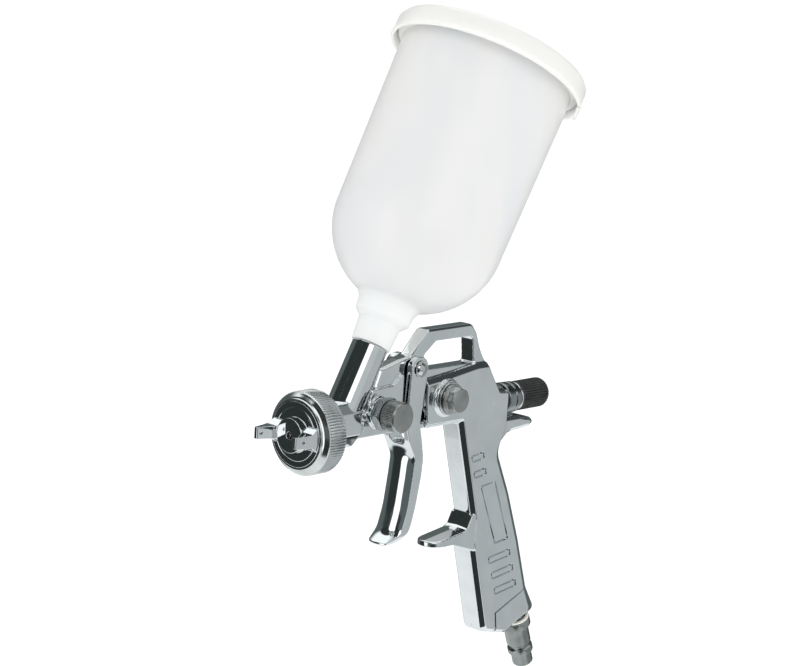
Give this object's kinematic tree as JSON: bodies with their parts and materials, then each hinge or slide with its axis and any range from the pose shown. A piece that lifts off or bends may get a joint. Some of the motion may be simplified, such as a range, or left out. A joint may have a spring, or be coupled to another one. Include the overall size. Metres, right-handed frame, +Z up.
{
  "type": "gravity feed spray gun",
  "caption": "Chromed gravity-feed spray gun with a leaning plastic cup on top, a forked trigger, a hanging loop and an air plug under the grip.",
  "frame": {"origin": "middle of the underside of the hanging loop's top bar, where the gun hangs on a hook", "axes": "+X along the barrel from the nozzle to the knob, -Y the gun's left side, +Z up"},
  "size_m": [0.1945, 0.0974, 0.3398],
  "materials": {
    "chrome": "bright chrome plate over a smooth die casting",
    "nickel": "satin nickel plate",
    "steel": "turned stainless steel",
    "brass": "turned brass",
    "black_plastic": "matt black, knurled",
    "cup_plastic": "milky translucent polyethylene, soft sheen",
    "lid_plastic": "warm white polyethylene, soft sheen",
    "seal": "white seal plastic",
    "strainer_mesh": "moulded filter"
  },
  "bodies": {
    "gun": {"gun_body": "chrome", "fluid_nozzle": "steel", "air_distributor": "brass", "needle_packing": "seal", "packing_nut": "brass", "needle_spring": "steel", "air_valve_seat": "seal", "air_valve_spring": "steel", "needle_guide_nut": "chrome", "knob_lock_ring": "chrome", "trigger_pivot_screw": "nickel", "trigger_pivot_nut": "nickel", "fan_gland_nut": "nickel", "passage_plug_left": "nickel", "passage_plug_right": "nickel", "plug_washer_left": "steel", "plug_washer_right": "steel", "air_inlet_nipple": "nickel", "inlet_seal": "seal"},
    "cap_ring": {"air_cap_ring": "nickel"},
    "cap": {"air_cap": "chrome"},
    "trigger": {"trigger": "chrome"},
    "needle": {"fluid_needle": "steel"},
    "air_valve": {"air_valve_stem": "steel"},
    "fluid_control": {"fluid_knob": "black_plastic"},
    "fan_control": {"fan_knob": "nickel", "fan_valve_stem": "brass"},
    "cup": {"cup": "cup_plastic", "cup_strainer": "strainer_mesh"},
    "lid": {"cup_lid": "lid_plastic"}
  },
  "joints": [
    {"name": "trigger_pull", "type": "hinge", "parent": "gun", "child": "trigger", "pos_m": [-0.0269, 0, -0.0114], "axis": [0, -1, 0], "range_deg": [0, 11], "stiffness_Nm_per_rad": 1.2, "springref_deg": -20.05},
    {"name": "needle_travel", "type": "slide", "parent": "gun", "child": "needle", "axis": [1, 0, 0], "range_m": [0, 0.0046], "deforming": ["needle_spring"]},
    {"name": "air_valve_travel", "type": "slide", "parent": "gun", "child": "air_valve", "axis": [1, 0, 0], "range_m": [0, 0.0046], "deforming": ["air_valve_spring"]},
    {"name": "fluid_knob_turn", "type": "hinge", "parent": "gun", "child": "fluid_control", "pos_m": [0.063, 0, -0.0352], "axis": [1, 0, 0], "continuous": true},
    {"name": "fan_knob_turn", "type": "hinge", "parent": "gun", "child": "fan_control", "pos_m": [-0.0528, -0.018, -0.0294], "axis": [0, -1, 0], "range_deg": [0, 360]},
    {"name": "cap_ring_turn", "type": "hinge", "parent": "gun", "child": "cap_ring", "pos_m": [-0.093, 0, -0.0352], "axis": [1, 0, 0], "continuous": true},
    {"name": "air_cap_turn", "type": "hinge", "parent": "gun", "child": "cap", "pos_m": [-0.097, 0, -0.0352], "axis": [1, 0, 0], "range_deg": [0, 90]},
    {"name": "cup_turn", "type": "hinge", "parent": "gun", "child": "cup", "pos_m": [-0.0544, 0, 0.0011], "axis": [0.4833, 0, 0.8755], "continuous": true},
    {"name": "lid_lift", "type": "slide", "parent": "cup", "child": "lid", "axis": [0.4833, 0, 0.8755], "range_m": [0, 0.04]}
  ],
  "couplings": [
    {"joint": "needle_travel", "follows": "trigger_pull", "m_per_rad": 0.0238},
    {"joint": "air_valve_travel", "follows": "trigger_pull", "m_per_rad": 0.0238}
  ]
}
